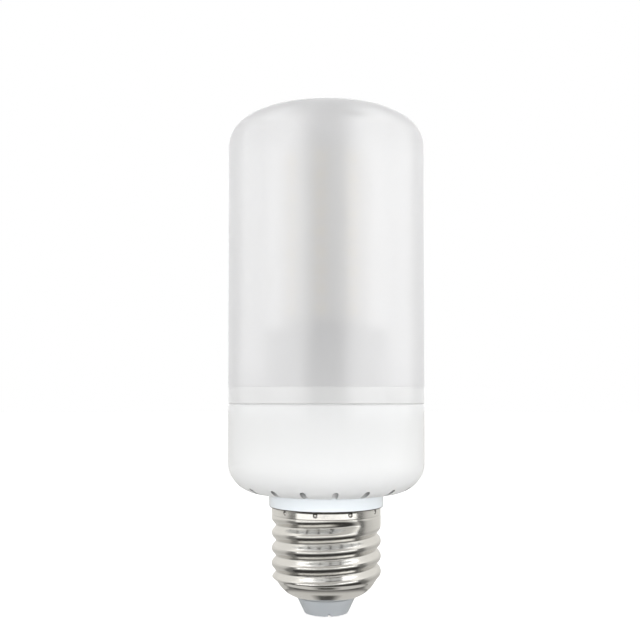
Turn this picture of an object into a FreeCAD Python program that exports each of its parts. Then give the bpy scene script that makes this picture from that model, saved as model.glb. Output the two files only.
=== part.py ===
import FreeCAD, Part
import math
import os

# Flame effect LED bulb with a large Edison screw cap. Millimetres.
# The origin is the tip of the centre contact, and +Z runs up the axis to the crown of the cover.
# The front is towards -Y. Angles are in degrees about +Z from +X, so the front is at -90.

Vector = FreeCAD.Vector
origin = Vector(0, 0, 0)
outward = Vector(1, 0, 0)
upward = Vector(0, 0, 1)
front_angle = -90

# Whole bulb
body_radius = 23.65
overall_height = 119.45
slip_clearance = 0.1
overlap = 0.5

# Cover: a straight milky tube with a wide shoulder and a nearly flat crown
cover_wall = 1.5
crown_radius = 160.0
shoulder_radius = 6.7
cover_lip_wall = 1.2
cover_lip_depth = 2.2
joggle_height = 1.0

# Joint ring between cover and base cup, with the deck that closes the cup
ring_bottom = 50.15
ring_top = 53.95
ring_wall = 1.2
seam_bevel = 0.25
deck_thickness = 1.4
deck_opening_radius = 10.5
deck_spigot_wall = 1.4
deck_spigot_depth = 3.4
socket_wall = 1.2
socket_height = 2.6

# Base cup
cup_bottom = 29.05
cup_wall = 1.8
cup_corner_radius = 7.3
collar_radius = 13.8
collar_bottom = 25.85
neck_bottom = 9.5
neck_wall = 1.5
neck_seat_height = 1.8

# Vents in the floor of the cup
vent_count = 18
vent_width = 1.25
vent_inner_share = 0.14
vent_outer_share = 0.76
vent_depth = 4.6
vent_angle = front_angle + 5.2
vent_step = 360 / vent_count

# Screws that hold the deck
screw_count = 2
screw_angle = vent_angle + vent_step / 2
boss_radius = 2.2
boss_clearance = 0.1
boss_side_gap = 0.15
pilot_radius = 0.85
pilot_depth = 10.0
screw_shank_radius = 0.8
screw_shank_length = 9.0
screw_hole_radius = 1.1
screw_head_radius = 1.9
screw_head_height = 1.2
screw_slot_width = 0.45
screw_slot_depth = 0.6
screw_slot_reach = 0.7

# Screw shell: thin rolled metal, seven turns to the inch
thread_pitch = 25.4 / 7
thread_crest_radius = 13.2
thread_root_radius = 12.1
thread_flat = 0.9
skirt_radius = 13.1
skirt_height = 2.0
skirt_flare_height = 0.6
groove_below_rim = 3.85
groove_start_angle = -1330
groove_end_angle = 316
groove_fade_angle = 46
groove_reach = 0.6
groove_step_angle = 15
shell_wall = 0.35
shell_bottom = 4.25
lip_hole_radius = 6.75
taper_start_radius = 7.15
taper_end_radius = 11.9
taper_end_height = 8.05
taper_arc_radius = 7.2
entry_cone_height = 1.0
punch_count = 10
punch_angle = front_angle + 24.5
punch_radius = 0.8
punch_depth = 0.18
punch_below_rim = 0.95

# Cap insulator and centre contact
foot_bottom = 0.35
foot_bottom_radius = 5.28
foot_edge_rise = 0.15
foot_edge_radius = 5.38
foot_neck_clearance = 0.08
flange_radius = 8.0
flange_rise = 1.2
flange_thickness = 0.8
contact_recess_radius = 4.15
contact_recess_depth = 0.55
foot_notch_width = 0.5
foot_notch_height = 0.7
foot_notch_offset = 0.65
contact_radius = 4.0
contact_flat_radius = 2.6
contact_edge_rise = 0.35
contact_thickness = 0.8
rivet_radius = 1.2
rivet_head_radius = 1.9
rivet_head_height = 0.6

# Former for the lights: a wide pedestal that carries a slim column
pedestal_radius = 12.5
pedestal_share = 0.217
pedestal_edge_radius = 1.0
former_seat_gap = 0.1
former_radius = 8.2
former_wall = 1.3
former_headroom = 7.3
former_lead_hole_radius = 1.5

# Flexible circuit sheet, rolled round the column
sheet_gap = 0.05
sheet_thickness = 0.2
sheet_foot_gap = 1.2
sheet_head_gap = 0.5
sheet_seam_angle = 5.0
tail_width = 5.0
tail_slot_clearance = 0.3
tail_straight_end = 49.5
tail_bend_height = 47.2
tail_land_height = 44.2
tail_end_height = 41.6

# Light chips
row_count = 9
lights_per_row = 8
light_width = 2.8
light_height_share = 0.8
light_thickness = 0.7
row_end_margin = 2.8

# Top board
top_board_radius = 7.6
top_board_thickness = 1.0
top_light_count = 4
top_light_circle_radius = 4.3
top_light_length = 3.5

# Driver board, which stands in the base cup with a tongue down the neck
board_angle = screw_angle + 90
board_thickness = 1.2
board_side_gap = 6.85
board_shoulder_rise = 2.3
board_top = 46.5
tongue_half_width = 8.5
tongue_bottom = 13.0
guide_rib_thickness = 1.1
guide_rib_overlap = 1.3
guide_rib_top = 43.5
board_slot_clearance = 0.1

# Parts on the driver board
capacitor_radius = 4.0
capacitor_bottom = 16.5
capacitor_height = 12.0
capacitor_groove_depth = 0.35
capacitor_groove_height = 1.7
capacitor_gap = 0.25
lead_radius = 0.3
capacitor_lead_spacing = 3.5
capacitor_lead_drop = 1.4
choke_radius = 4.0
choke_height = 8.0
choke_flange = 1.2
choke_core_radius = 1.9
choke_winding_radius = 3.5
choke_side_inset = 7.4
choke_middle_height = 40.0
package_side_gap = 0.1
package_lead_width = 0.5
package_lead_reach = 1.0
package_lead_thickness = 0.2
chip_lead_pitch = 1.27
bridge_side_inset = 8.0
bridge_middle_height = 42.5
bridge_size = (4.7, 3.9, 2.4)
bridge_lead_count = 2
bridge_lead_pitch = 2.54
driver_side_inset = 5.5
driver_middle_height = 43.0
driver_size = (4.9, 3.9, 1.5)
driver_lead_count = 4
controller_middle_offset = -1.5
controller_middle_height = 36.4
controller_size = (9.9, 3.9, 1.5)
controller_lead_count = 8
resistor_radius = 1.6
resistor_length = 8.0
resistor_bottom = 15.5
resistor_offset = 4.4
resistor_lead_rise = 1.6
switch_radius = 1.5
switch_length = 5.5
switch_side_inset = 3.8
switch_bottom = 37.0
wire_radius = 0.4
live_bend_height = 11.0
live_drop_height = 9.6
neutral_place = 6.4
neutral_overlap = 3.0
neutral_end_radius = 11.75
neutral_end_height = 8.75

# Sizes that follow from the ones above
board_surface = board_thickness / 2
thread_flank_height = thread_pitch / 2 - thread_flat
thread_depth = thread_crest_radius - thread_root_radius
cover_inner_radius = body_radius - cover_wall
ring_inner_radius = body_radius - ring_wall
cover_lip_radius = ring_inner_radius - slip_clearance
deck_top = ring_bottom + deck_thickness
cup_inner_radius = body_radius - cup_wall
cup_floor = cup_bottom + cup_wall
neck_radius = thread_root_radius - shell_wall - slip_clearance
neck_seat_radius = skirt_radius - shell_wall - slip_clearance
neck_bore_radius = neck_radius - neck_wall
groove_height_at_front = collar_bottom - groove_below_rim
flange_bottom = shell_bottom + flange_rise
flange_top = flange_bottom + flange_thickness
vent_inner_radius = collar_radius + vent_inner_share * (body_radius - collar_radius)
vent_outer_radius = collar_radius + vent_outer_share * (body_radius - collar_radius)
spigot_radius = cup_inner_radius - slip_clearance
spigot_inner_radius = spigot_radius - deck_spigot_wall
screw_circle_radius = spigot_inner_radius - boss_radius - boss_side_gap
socket_inner_radius = pedestal_radius + slip_clearance
former_bottom = deck_top + former_seat_gap
former_top = overall_height - cover_wall - former_headroom
pedestal_top = ring_top + pedestal_share * (overall_height - ring_top)
sheet_bottom = pedestal_top + sheet_foot_gap
sheet_top = former_top - sheet_head_gap
first_row_height = sheet_bottom + row_end_margin
row_pitch = (sheet_top - row_end_margin - first_row_height) / (row_count - 1)
light_height = light_height_share * row_pitch
sheet_inner_radius = former_radius + sheet_gap
sheet_outer_radius = sheet_inner_radius + sheet_thickness
tail_angle = math.degrees(tail_width / sheet_outer_radius)
boss_top = ring_bottom - boss_clearance
board_half_width = cup_inner_radius - board_side_gap
board_shoulder_height = cup_floor + board_shoulder_rise
choke_place = (choke_side_inset - board_half_width, choke_middle_height)
bridge_place = (board_half_width - bridge_side_inset, bridge_middle_height)
driver_place = (driver_side_inset - board_half_width, driver_middle_height)
controller_place = (controller_middle_offset, controller_middle_height)
switch_place = (board_half_width - switch_side_inset, switch_bottom)
top_board_bottom = former_top + former_seat_gap


def polar(radius, angle, height=0.0):
    """Point at a radius and an angle about the axis."""
    turn = math.radians(angle)
    return Vector(radius * math.cos(turn), radius * math.sin(turn), height)


def turn_to(shape, angle):
    """Copy of a shape, turned about the axis."""
    turned = shape.copy()
    turned.rotate(origin, upward, angle)
    return turned


def ring_of(shape, count, first_angle):
    """Copies of a shape, spaced evenly round the axis."""
    return [turn_to(shape, first_angle + 360 * index / count) for index in range(count)]


def joined(shapes):
    """One shape from several that touch or overlap."""
    return shapes[0].multiFuse(shapes[1:])


def block(x_range, y_range, z_range):
    """Box between two limits on each axis."""
    corner = Vector(x_range[0], y_range[0], z_range[0])
    sides = [limits[1] - limits[0] for limits in (x_range, y_range, z_range)]
    return Part.makeBox(*sides, corner)


class Outline:
    """Closed outline beside the axis, drawn in radius and height, that is turned into a solid."""

    def __init__(self, radius, height):
        self.start = Vector(radius, 0, height)
        self.here = self.start
        self.edges = []

    def to(self, radius, height):
        there = Vector(radius, 0, height)
        self.edges.append(Part.makeLine(self.here, there))
        self.here = there

    def around(self, centre, end_angle):
        """Arc about a centre, to a direction in degrees above straight outward."""
        middle = Vector(centre[0], 0, centre[1])
        arm = self.here - middle
        start_angle = math.degrees(math.atan2(arm.z, arm.x))

        def on_arc(angle):
            turn = math.radians(angle)
            return middle + Vector(math.cos(turn), 0, math.sin(turn)) * arm.Length

        through = on_arc((start_angle + end_angle) / 2)
        there = on_arc(end_angle)
        self.edges.append(Part.Arc(self.here, through, there).toShape())
        self.here = there

    def face(self):
        self.to(self.start.x, self.start.z)
        return Part.Face(Part.Wire(self.edges))

    def turned(self, angle=360.0):
        return self.face().revolve(origin, upward, angle)


def rounded_path(points):
    """Wire of straight runs with a tangent arc at each bend, as large as the runs beside it allow."""
    edges = []
    here = points[0]
    for before, corner, after in zip(points, points[1:], points[2:]):
        back = before - corner
        ahead = after - corner
        half_turn = (math.pi - back.getAngle(ahead)) / 2
        trim = 0.45 * min(back.Length, ahead.Length)
        radius = trim / math.tan(half_turn)
        back.normalize()
        ahead.normalize()
        arc_start = corner + back * trim
        arc_end = corner + ahead * trim
        towards_centre = (back + ahead).normalize()
        centre = corner + towards_centre * (radius / math.cos(half_turn))
        edges.append(Part.makeLine(here, arc_start))
        edges.append(Part.Arc(arc_start, centre - towards_centre * radius, arc_end).toShape())
        here = arc_end
    edges.append(Part.makeLine(here, points[-1]))
    return Part.Wire(edges)


def wire_along(radius, points):
    """Round wire along a rounded path."""
    path = rounded_path(points)
    section = Part.Wire(Part.makeCircle(radius, points[0], points[1] - points[0]))
    return path.makePipeShell([section], True, True)


# Cover

def cover():
    """Milky tube with a flat crown; its lower lip steps in to plug into the joint ring."""
    crown_centre = (0, overall_height - crown_radius)
    shoulder_inset = body_radius - shoulder_radius
    shoulder_rise = math.sqrt((crown_radius - shoulder_radius) ** 2 - shoulder_inset ** 2)
    shoulder_centre = (shoulder_inset, crown_centre[1] + shoulder_rise)
    tangent_angle = math.degrees(math.atan2(shoulder_rise, shoulder_inset))
    lip_bottom = ring_top - cover_lip_depth
    lip_inner_radius = cover_lip_radius - cover_lip_wall
    outline = Outline(cover_lip_radius, lip_bottom)
    outline.to(cover_lip_radius, ring_top)
    outline.to(body_radius, ring_top)
    outline.to(body_radius, shoulder_centre[1])
    outline.around(shoulder_centre, tangent_angle)
    outline.around(crown_centre, 90)
    outline.to(0, overall_height - cover_wall)
    outline.around(crown_centre, tangent_angle)
    outline.around(shoulder_centre, 0)
    outline.to(cover_inner_radius, ring_top + cover_wall + joggle_height)
    outline.to(lip_inner_radius, ring_top + cover_wall)
    outline.to(lip_inner_radius, lip_bottom)
    return outline.turned()


# Joint ring

def deck_ring():
    """Visible band, deck plate, spigot that plugs into the cup, and socket for the former."""
    spigot_bottom = ring_bottom - deck_spigot_depth
    socket_radius = socket_inner_radius + socket_wall
    socket_top = deck_top + socket_height
    outline = Outline(deck_opening_radius, ring_bottom)
    outline.to(spigot_inner_radius, ring_bottom)
    outline.to(spigot_inner_radius, spigot_bottom)
    outline.to(spigot_radius, spigot_bottom)
    outline.to(spigot_radius, ring_bottom)
    outline.to(body_radius - seam_bevel, ring_bottom)
    outline.to(body_radius, ring_bottom + seam_bevel)
    outline.to(body_radius, ring_top)
    outline.to(ring_inner_radius, ring_top)
    outline.to(ring_inner_radius, deck_top)
    outline.to(socket_radius, deck_top)
    outline.to(socket_radius, socket_top)
    outline.to(socket_inner_radius, socket_top)
    outline.to(socket_inner_radius, deck_top)
    outline.to(deck_opening_radius, deck_top)
    hole_bottom = Vector(screw_circle_radius, 0, ring_bottom - overlap)
    hole = Part.makeCylinder(screw_hole_radius, deck_thickness + 2 * overlap, hole_bottom)
    return outline.turned().cut(Part.makeCompound(ring_of(hole, screw_count, screw_angle)))


# Base cup

def guide_ribs():
    """Two pairs of ribs on the cup's side, with a step between each pair that the board stands on."""
    inner_end = board_half_width - guide_rib_overlap
    slot_half = board_surface + board_slot_clearance
    rib_half = slot_half + guide_rib_thickness
    reach = (inner_end, body_radius)
    ribs = block(reach, (-rib_half, rib_half), (cup_bottom, guide_rib_top))
    slot_bottom = board_shoulder_height - board_slot_clearance
    slot = block((0, body_radius + overlap), (-slot_half, slot_half), (slot_bottom, guide_rib_top + overlap))
    return ring_of(ribs.cut(slot), 2, board_angle)


def vent():
    """Cutter for one radial slot with a round outer end."""
    half_width = vent_width / 2
    bottom = cup_bottom - overlap
    straight_end = vent_outer_radius - half_width
    heights = (bottom, bottom + vent_depth)
    straight = block((vent_inner_radius, straight_end), (-half_width, half_width), heights)
    round_end = Part.makeCylinder(half_width, vent_depth, Vector(straight_end, 0, bottom))
    return straight.fuse(round_end)


def base_cup():
    """White bell with vents under its corner, a collar, and a neck that plugs into the screw shell."""
    corner_centre = (body_radius - cup_corner_radius, cup_bottom + cup_corner_radius)
    seat_bottom = collar_bottom - neck_seat_height
    outside = Outline(0, neck_bottom)
    outside.to(neck_radius, neck_bottom)
    outside.to(neck_radius, seat_bottom)
    outside.to(neck_seat_radius, seat_bottom)
    outside.to(neck_seat_radius, collar_bottom)
    outside.to(collar_radius, collar_bottom)
    outside.to(collar_radius, cup_bottom)
    outside.to(corner_centre[0], cup_bottom)
    outside.around(corner_centre, 0)
    outside.to(body_radius, ring_bottom - seam_bevel)
    outside.to(body_radius - seam_bevel, ring_bottom)
    outside.to(0, ring_bottom)
    inside = Outline(0, neck_bottom - overlap)
    inside.to(neck_bore_radius, neck_bottom - overlap)
    inside.to(neck_bore_radius, cup_floor)
    inside.to(corner_centre[0], cup_floor)
    inside.around(corner_centre, 0)
    inside.to(cup_inner_radius, ring_bottom + overlap)
    inside.to(0, ring_bottom + overlap)
    boss = Part.makeCylinder(boss_radius, boss_top - cup_bottom, Vector(screw_circle_radius, 0, cup_bottom))
    pilot_bottom = Vector(screw_circle_radius, 0, boss_top - pilot_depth)
    pilot = Part.makeCylinder(pilot_radius, pilot_depth + overlap, pilot_bottom)
    supports = ring_of(boss.cut(pilot), screw_count, screw_angle) + guide_ribs()
    hollow = inside.turned().cut(Part.makeCompound(supports))
    vents = Part.makeCompound(ring_of(vent(), vent_count, vent_angle))
    return outside.turned().cut(hollow).cut(vents)


# Screw shell

def shell_envelope(inset):
    """The shell's form before the thread is rolled in, moved inward from the outer face."""
    start = Vector(taper_start_radius, 0, shell_bottom)
    end = Vector(taper_end_radius, 0, taper_end_height)
    chord = end - start
    across = Vector(-chord.z, 0, chord.x).normalize()
    centre = (start + end) / 2 + across * math.sqrt(taper_arc_radius ** 2 - chord.Length ** 2 / 4)
    arc_centre = (centre.x, centre.z)
    side_radius = thread_crest_radius - inset
    skirt_bottom = collar_bottom - skirt_height
    top = collar_bottom + (overlap if inset else 0)
    arm_radius = taper_arc_radius - inset
    start_turn = math.atan2(start.z - centre.z, start.x - centre.x)
    end_turn = math.atan2(end.z - centre.z, end.x - centre.x)
    arc_start = (centre.x + arm_radius * math.cos(start_turn), centre.z + arm_radius * math.sin(start_turn))
    outline = Outline(0, shell_bottom - overlap if inset else shell_bottom)
    if inset:
        outline.to(lip_hole_radius, shell_bottom - overlap)
        outline.to(lip_hole_radius, arc_start[1])
    outline.to(*arc_start)
    outline.around(arc_centre, math.degrees(end_turn))
    outline.to(side_radius, taper_end_height + entry_cone_height)
    outline.to(side_radius, skirt_bottom - skirt_flare_height)
    outline.to(skirt_radius - inset, skirt_bottom)
    outline.to(skirt_radius - inset, top)
    outline.to(0, top)
    return outline.turned()


def thread_groove(inset):
    """Cutter for the groove between two crests; it winds up the shell and fades out under the rim."""
    flank_turn = math.atan2(thread_depth, thread_flank_height)
    corner_shift = inset * math.tan(flank_turn / 2)
    bottom_radius = thread_root_radius - inset
    mouth_radius = bottom_radius + thread_depth + groove_reach
    bottom_half = thread_flat / 2 + corner_shift
    mouth_half = bottom_half + thread_flank_height * (thread_depth + groove_reach) / thread_depth
    section = Part.makePolygon([
        Vector(bottom_radius, 0, -bottom_half),
        Vector(bottom_radius, 0, bottom_half),
        Vector(mouth_radius, 0, mouth_half),
        Vector(mouth_radius, 0, -mouth_half),
        Vector(bottom_radius, 0, -bottom_half),
    ])
    steps = round((groove_end_angle - groove_start_angle) / groove_step_angle)
    fade_start = groove_end_angle - groove_fade_angle
    points = []
    for step in range(steps + 1):
        angle = groove_start_angle + (groove_end_angle - groove_start_angle) * step / steps
        height = groove_height_at_front + thread_pitch * (angle - 360 - front_angle) / 360
        fade = max(0.0, (angle - fade_start) / groove_fade_angle)
        lift = (thread_depth + shell_wall) * fade * fade * (3 - 2 * fade)
        points.append(polar(bottom_radius + lift, angle, height))
    section.rotate(origin, upward, groove_start_angle)
    section.translate(Vector(0, 0, points[0].z))
    winding = Part.BSplineCurve()
    winding.interpolate(points)
    sweep = Part.BRepOffsetAPI.MakePipeShell(Part.Wire([winding.toShape()]))
    sweep.setBiNormalMode(upward)
    sweep.add(section, False, False)
    sweep.build()
    sweep.makeSolid()
    return sweep.shape()


def screw_shell():
    """Thin sheet whose inner face follows the rolled thread, with punched marks under the rim."""
    outer = shell_envelope(0).cut(thread_groove(0))
    inner = shell_envelope(shell_wall).cut(thread_groove(shell_wall))
    punch_reach = skirt_radius + punch_radius - punch_depth
    punch_centre = Vector(punch_reach, 0, collar_bottom - punch_below_rim)
    punches = ring_of(Part.makeSphere(punch_radius, punch_centre), punch_count, punch_angle)
    return outer.cut(inner).cut(Part.makeCompound(punches))


# Cap insulator and contact

def cap_insulator():
    """Moulded foot, clinched through the lip of the shell, with a recess for the contact."""
    throat_radius = lip_hole_radius - foot_neck_clearance
    bore_radius = rivet_radius + slip_clearance
    foot_top = shell_bottom - foot_neck_clearance
    recess_top = foot_bottom + contact_recess_depth
    outline = Outline(bore_radius, recess_top)
    outline.to(contact_recess_radius, recess_top)
    outline.to(contact_recess_radius, foot_bottom)
    outline.to(foot_bottom_radius, foot_bottom)
    outline.to(foot_edge_radius, foot_bottom + foot_edge_rise)
    outline.to(taper_start_radius, foot_top)
    outline.to(throat_radius, foot_top)
    outline.to(throat_radius, flange_bottom)
    outline.to(flange_radius, flange_bottom)
    outline.to(flange_radius, flange_top)
    outline.to(bore_radius, flange_top)
    notch = block(
        (foot_notch_offset - foot_notch_width / 2, foot_notch_offset + foot_notch_width / 2),
        (-foot_edge_radius - overlap, -contact_recess_radius),
        (foot_bottom - overlap, foot_bottom + foot_notch_height),
    )
    return outline.turned().cut(notch)


def centre_contact():
    """Dished button with a stem that is riveted over inside the insulator."""
    stem_top = flange_top + slip_clearance
    outline = Outline(0, 0)
    outline.to(contact_flat_radius, 0)
    outline.to(contact_radius, contact_edge_rise)
    outline.to(contact_radius, contact_thickness)
    outline.to(rivet_radius, contact_thickness)
    outline.to(rivet_radius, stem_top)
    outline.to(rivet_head_radius, stem_top)
    outline.to(rivet_head_radius, stem_top + rivet_head_height)
    outline.to(0, stem_top + rivet_head_height)
    return outline.turned()


# Lights and what carries them

def led_former():
    """Wide pedestal and slim closed column, moulded in one, with a slot for the sheet's tail."""
    edge_centre = (pedestal_radius - pedestal_edge_radius, pedestal_top - pedestal_edge_radius)
    outline = Outline(pedestal_radius - former_wall, former_bottom)
    outline.to(pedestal_radius, former_bottom)
    outline.to(pedestal_radius, edge_centre[1])
    outline.around(edge_centre, 90)
    outline.to(former_radius, pedestal_top)
    outline.to(former_radius, former_top)
    outline.to(former_lead_hole_radius, former_top)
    outline.to(former_lead_hole_radius, former_top - former_wall)
    outline.to(former_radius - former_wall, former_top - former_wall)
    outline.to(former_radius - former_wall, pedestal_top - former_wall)
    outline.to(pedestal_radius - former_wall, pedestal_top - former_wall)
    slot_half = tail_width / 2 + tail_slot_clearance
    slot = block(
        (former_radius - 2 * tail_slot_clearance, sheet_outer_radius + 2 * tail_slot_clearance),
        (-slot_half, slot_half),
        (pedestal_top - former_wall - overlap, sheet_bottom),
    )
    return outline.turned().cut(turn_to(slot, board_angle + 90))


def sheet_band(sweep_angle, start_angle, bottom, top):
    """Stretch of the rolled sheet."""
    outline = Outline(sheet_inner_radius, bottom)
    outline.to(sheet_outer_radius, bottom)
    outline.to(sheet_outer_radius, top)
    outline.to(sheet_inner_radius, top)
    return turn_to(outline.turned(sweep_angle), start_angle)


def flex_board():
    """Thin sheet rolled to a tube with an open seam, and a tail that folds over to the driver board."""
    middle_angle = board_angle + 90
    seam_angle = middle_angle + 180 / lights_per_row
    roll = sheet_band(360 - sheet_seam_angle, seam_angle + sheet_seam_angle / 2, sheet_bottom, sheet_top)
    tail = sheet_band(tail_angle, middle_angle - tail_angle / 2, tail_straight_end, sheet_bottom + overlap)
    middle_radius = sheet_inner_radius + sheet_thickness / 2
    landing = board_surface + sheet_thickness / 2
    path = rounded_path([
        Vector(middle_radius, 0, tail_straight_end + overlap),
        Vector(middle_radius, 0, tail_bend_height),
        Vector(landing, 0, tail_land_height),
        Vector(landing, 0, tail_end_height),
    ])
    half_width = tail_width / 2
    half_thickness = sheet_thickness / 2
    start = path.Vertexes[0].Point
    section = Part.makePolygon([
        start + Vector(-half_thickness, -half_width, 0),
        start + Vector(half_thickness, -half_width, 0),
        start + Vector(half_thickness, half_width, 0),
        start + Vector(-half_thickness, half_width, 0),
        start + Vector(-half_thickness, -half_width, 0),
    ])
    fold = turn_to(path.makePipeShell([section], True, True), middle_angle)
    return joined([roll, tail, fold])


def light_row(index):
    """One ring of side-facing light chips."""
    height = first_row_height + index * row_pitch
    chip = block(
        (sheet_outer_radius, sheet_outer_radius + light_thickness),
        (-light_width / 2, light_width / 2),
        (height - light_height / 2, height + light_height / 2),
    )
    half_step = 180 / lights_per_row
    return Part.makeCompound(ring_of(chip, lights_per_row, board_angle + 90 + half_step))


def top_board():
    """Round board on the end of the column."""
    disc = Part.makeCylinder(top_board_radius, top_board_thickness, Vector(0, 0, top_board_bottom))
    hole = Part.makeCylinder(former_lead_hole_radius, top_board_thickness, Vector(0, 0, top_board_bottom))
    return disc.cut(hole)


def top_lights():
    """Upward-facing light chips on the top board."""
    top = top_board_bottom + top_board_thickness
    chip = block(
        (top_light_circle_radius - top_light_length / 2, top_light_circle_radius + top_light_length / 2),
        (-light_width / 2, light_width / 2),
        (top, top + light_thickness),
    )
    return Part.makeCompound(ring_of(chip, top_light_count, board_angle + 180 / top_light_count))


def deck_screws():
    """Two cross-head screws through the deck into the bosses of the cup."""
    head = Part.makeCylinder(screw_head_radius, screw_head_height, Vector(0, 0, deck_top))
    shank_bottom = Vector(0, 0, deck_top - screw_shank_length)
    shank = Part.makeCylinder(screw_shank_radius, screw_shank_length + overlap, shank_bottom)
    head_top = deck_top + screw_head_height
    long_slot = block(
        (-screw_head_radius * screw_slot_reach, screw_head_radius * screw_slot_reach),
        (-screw_slot_width / 2, screw_slot_width / 2),
        (head_top - screw_slot_depth, head_top + overlap),
    )
    cross = long_slot.fuse(turn_to(long_slot, 90))
    screw = head.fuse(shank).cut(cross)
    screw.translate(outward * screw_circle_radius)
    return Part.makeCompound(ring_of(screw, screw_count, screw_angle))


# Driver

def on_board(shape):
    """Turns a part from the board's own frame, with X along the board and Y through it, to its place."""
    return turn_to(shape, board_angle)


def driver_board():
    """Upright board with a tongue that reaches down into the neck."""
    outline = Part.makePolygon([
        Vector(-tongue_half_width, -board_surface, tongue_bottom),
        Vector(tongue_half_width, -board_surface, tongue_bottom),
        Vector(tongue_half_width, -board_surface, board_shoulder_height),
        Vector(board_half_width, -board_surface, board_shoulder_height),
        Vector(board_half_width, -board_surface, board_top),
        Vector(-board_half_width, -board_surface, board_top),
        Vector(-board_half_width, -board_surface, board_shoulder_height),
        Vector(-tongue_half_width, -board_surface, board_shoulder_height),
        Vector(-tongue_half_width, -board_surface, tongue_bottom),
    ])
    return on_board(Part.Face(outline).extrude(Vector(0, board_thickness, 0)))


def smoothing_capacitor():
    """Can with a rolled groove near its foot, lying along the tongue, with two bent leads."""
    middle = board_surface + capacitor_gap + capacitor_radius
    groove_centre = capacitor_bottom + capacitor_groove_height
    can = Outline(0, capacitor_bottom)
    can.to(capacitor_radius, capacitor_bottom)
    can.to(capacitor_radius, groove_centre - capacitor_groove_depth)
    can.to(capacitor_radius - capacitor_groove_depth, groove_centre)
    can.to(capacitor_radius, groove_centre + capacitor_groove_depth)
    can.to(capacitor_radius, capacitor_bottom + capacitor_height)
    can.to(0, capacitor_bottom + capacitor_height)
    body = can.turned()
    body.translate(Vector(0, middle, 0))
    pieces = [body]
    lead_bottom = capacitor_bottom - capacitor_lead_drop
    for side in (-1, 1):
        along = side * capacitor_lead_spacing / 2
        pieces.append(wire_along(lead_radius, [
            Vector(along, middle, capacitor_bottom + overlap),
            Vector(along, middle, lead_bottom),
            Vector(along, board_surface, lead_bottom),
        ]))
    return on_board(joined(pieces))


def choke(outline):
    """Places a piece of the choke, whose axis stands out from the board."""
    piece = outline.turned()
    piece.rotate(origin, outward, -90)
    piece.translate(Vector(choke_place[0], board_surface, choke_place[1]))
    return on_board(piece)


def choke_core():
    outline = Outline(0, 0)
    outline.to(choke_radius, 0)
    outline.to(choke_radius, choke_flange)
    outline.to(choke_core_radius, choke_flange)
    outline.to(choke_core_radius, choke_height - choke_flange)
    outline.to(choke_radius, choke_height - choke_flange)
    outline.to(choke_radius, choke_height)
    outline.to(0, choke_height)
    return choke(outline)


def choke_winding():
    outline = Outline(choke_core_radius, choke_flange)
    outline.to(choke_winding_radius, choke_flange)
    outline.to(choke_winding_radius, choke_height - choke_flange)
    outline.to(choke_core_radius, choke_height - choke_flange)
    return choke(outline)


def package(place, size, leads_per_side, lead_pitch):
    """Moulded chip on the back of the board, with flat leads folded down to it."""
    length, width, height = size
    face = -board_surface
    body_face = face - package_side_gap
    pieces = [block((-length / 2, length / 2), (body_face - height, body_face), (-width / 2, width / 2))]
    knee = package_lead_thickness
    mid_height = body_face - height / 2
    for index in range(leads_per_side):
        along = (index - (leads_per_side - 1) / 2) * lead_pitch
        reach = package_lead_reach
        for side in (-1, 1):
            edge = side * width / 2
            lead = Part.makePolygon([
                Vector(along - package_lead_width / 2, mid_height, edge - side * overlap / 2),
                Vector(along - package_lead_width / 2, mid_height, edge + side * reach / 2),
                Vector(along - package_lead_width / 2, face - knee, edge + side * reach / 2),
                Vector(along - package_lead_width / 2, face - knee, edge + side * reach),
                Vector(along - package_lead_width / 2, face, edge + side * reach),
                Vector(along - package_lead_width / 2, face, edge + side * (reach / 2 - knee)),
                Vector(along - package_lead_width / 2, mid_height + knee, edge + side * (reach / 2 - knee)),
                Vector(along - package_lead_width / 2, mid_height + knee, edge - side * overlap / 2),
                Vector(along - package_lead_width / 2, mid_height, edge - side * overlap / 2),
            ])
            pieces.append(Part.Face(lead).extrude(Vector(package_lead_width, 0, 0)))
    chip = joined(pieces)
    chip.translate(Vector(place[0], 0, place[1]))
    return on_board(chip)


def fusible_resistor():
    """Small round body beside the tongue, in the live lead, with its other lead bent over to the board."""
    start = Vector(0, -resistor_offset, resistor_bottom)
    body = Part.makeCylinder(resistor_radius, resistor_length, start)
    lead_top = resistor_bottom + resistor_length + resistor_lead_rise
    lead = wire_along(lead_radius, [
        start + Vector(0, 0, resistor_length - overlap),
        Vector(0, -resistor_offset, lead_top),
        Vector(0, -board_surface, lead_top),
    ])
    return on_board(joined([body, lead]))


def tilt_switch():
    """Small can lying against the back of the board."""
    middle = Vector(switch_place[0], -board_surface - switch_radius, switch_place[1])
    return on_board(Part.makeCylinder(switch_radius, switch_length, middle))


def live_wire():
    """From the foot of the resistor to the head of the contact's stem."""
    stem_top = flange_top + slip_clearance + rivet_head_height
    return on_board(wire_along(wire_radius, [
        Vector(0, -resistor_offset, resistor_bottom),
        Vector(0, -resistor_offset, live_bend_height),
        Vector(0, 0, live_drop_height),
        Vector(0, 0, stem_top),
    ]))


def neutral_wire():
    """From the tongue, under the end of the neck, to the inner face of the shell."""
    along = -board_surface - wire_radius
    return on_board(wire_along(wire_radius, [
        Vector(neutral_place, along, tongue_bottom + neutral_overlap),
        Vector(neutral_place, along, neutral_end_height),
        Vector(neutral_end_radius, along, neutral_end_height),
    ]))


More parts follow.
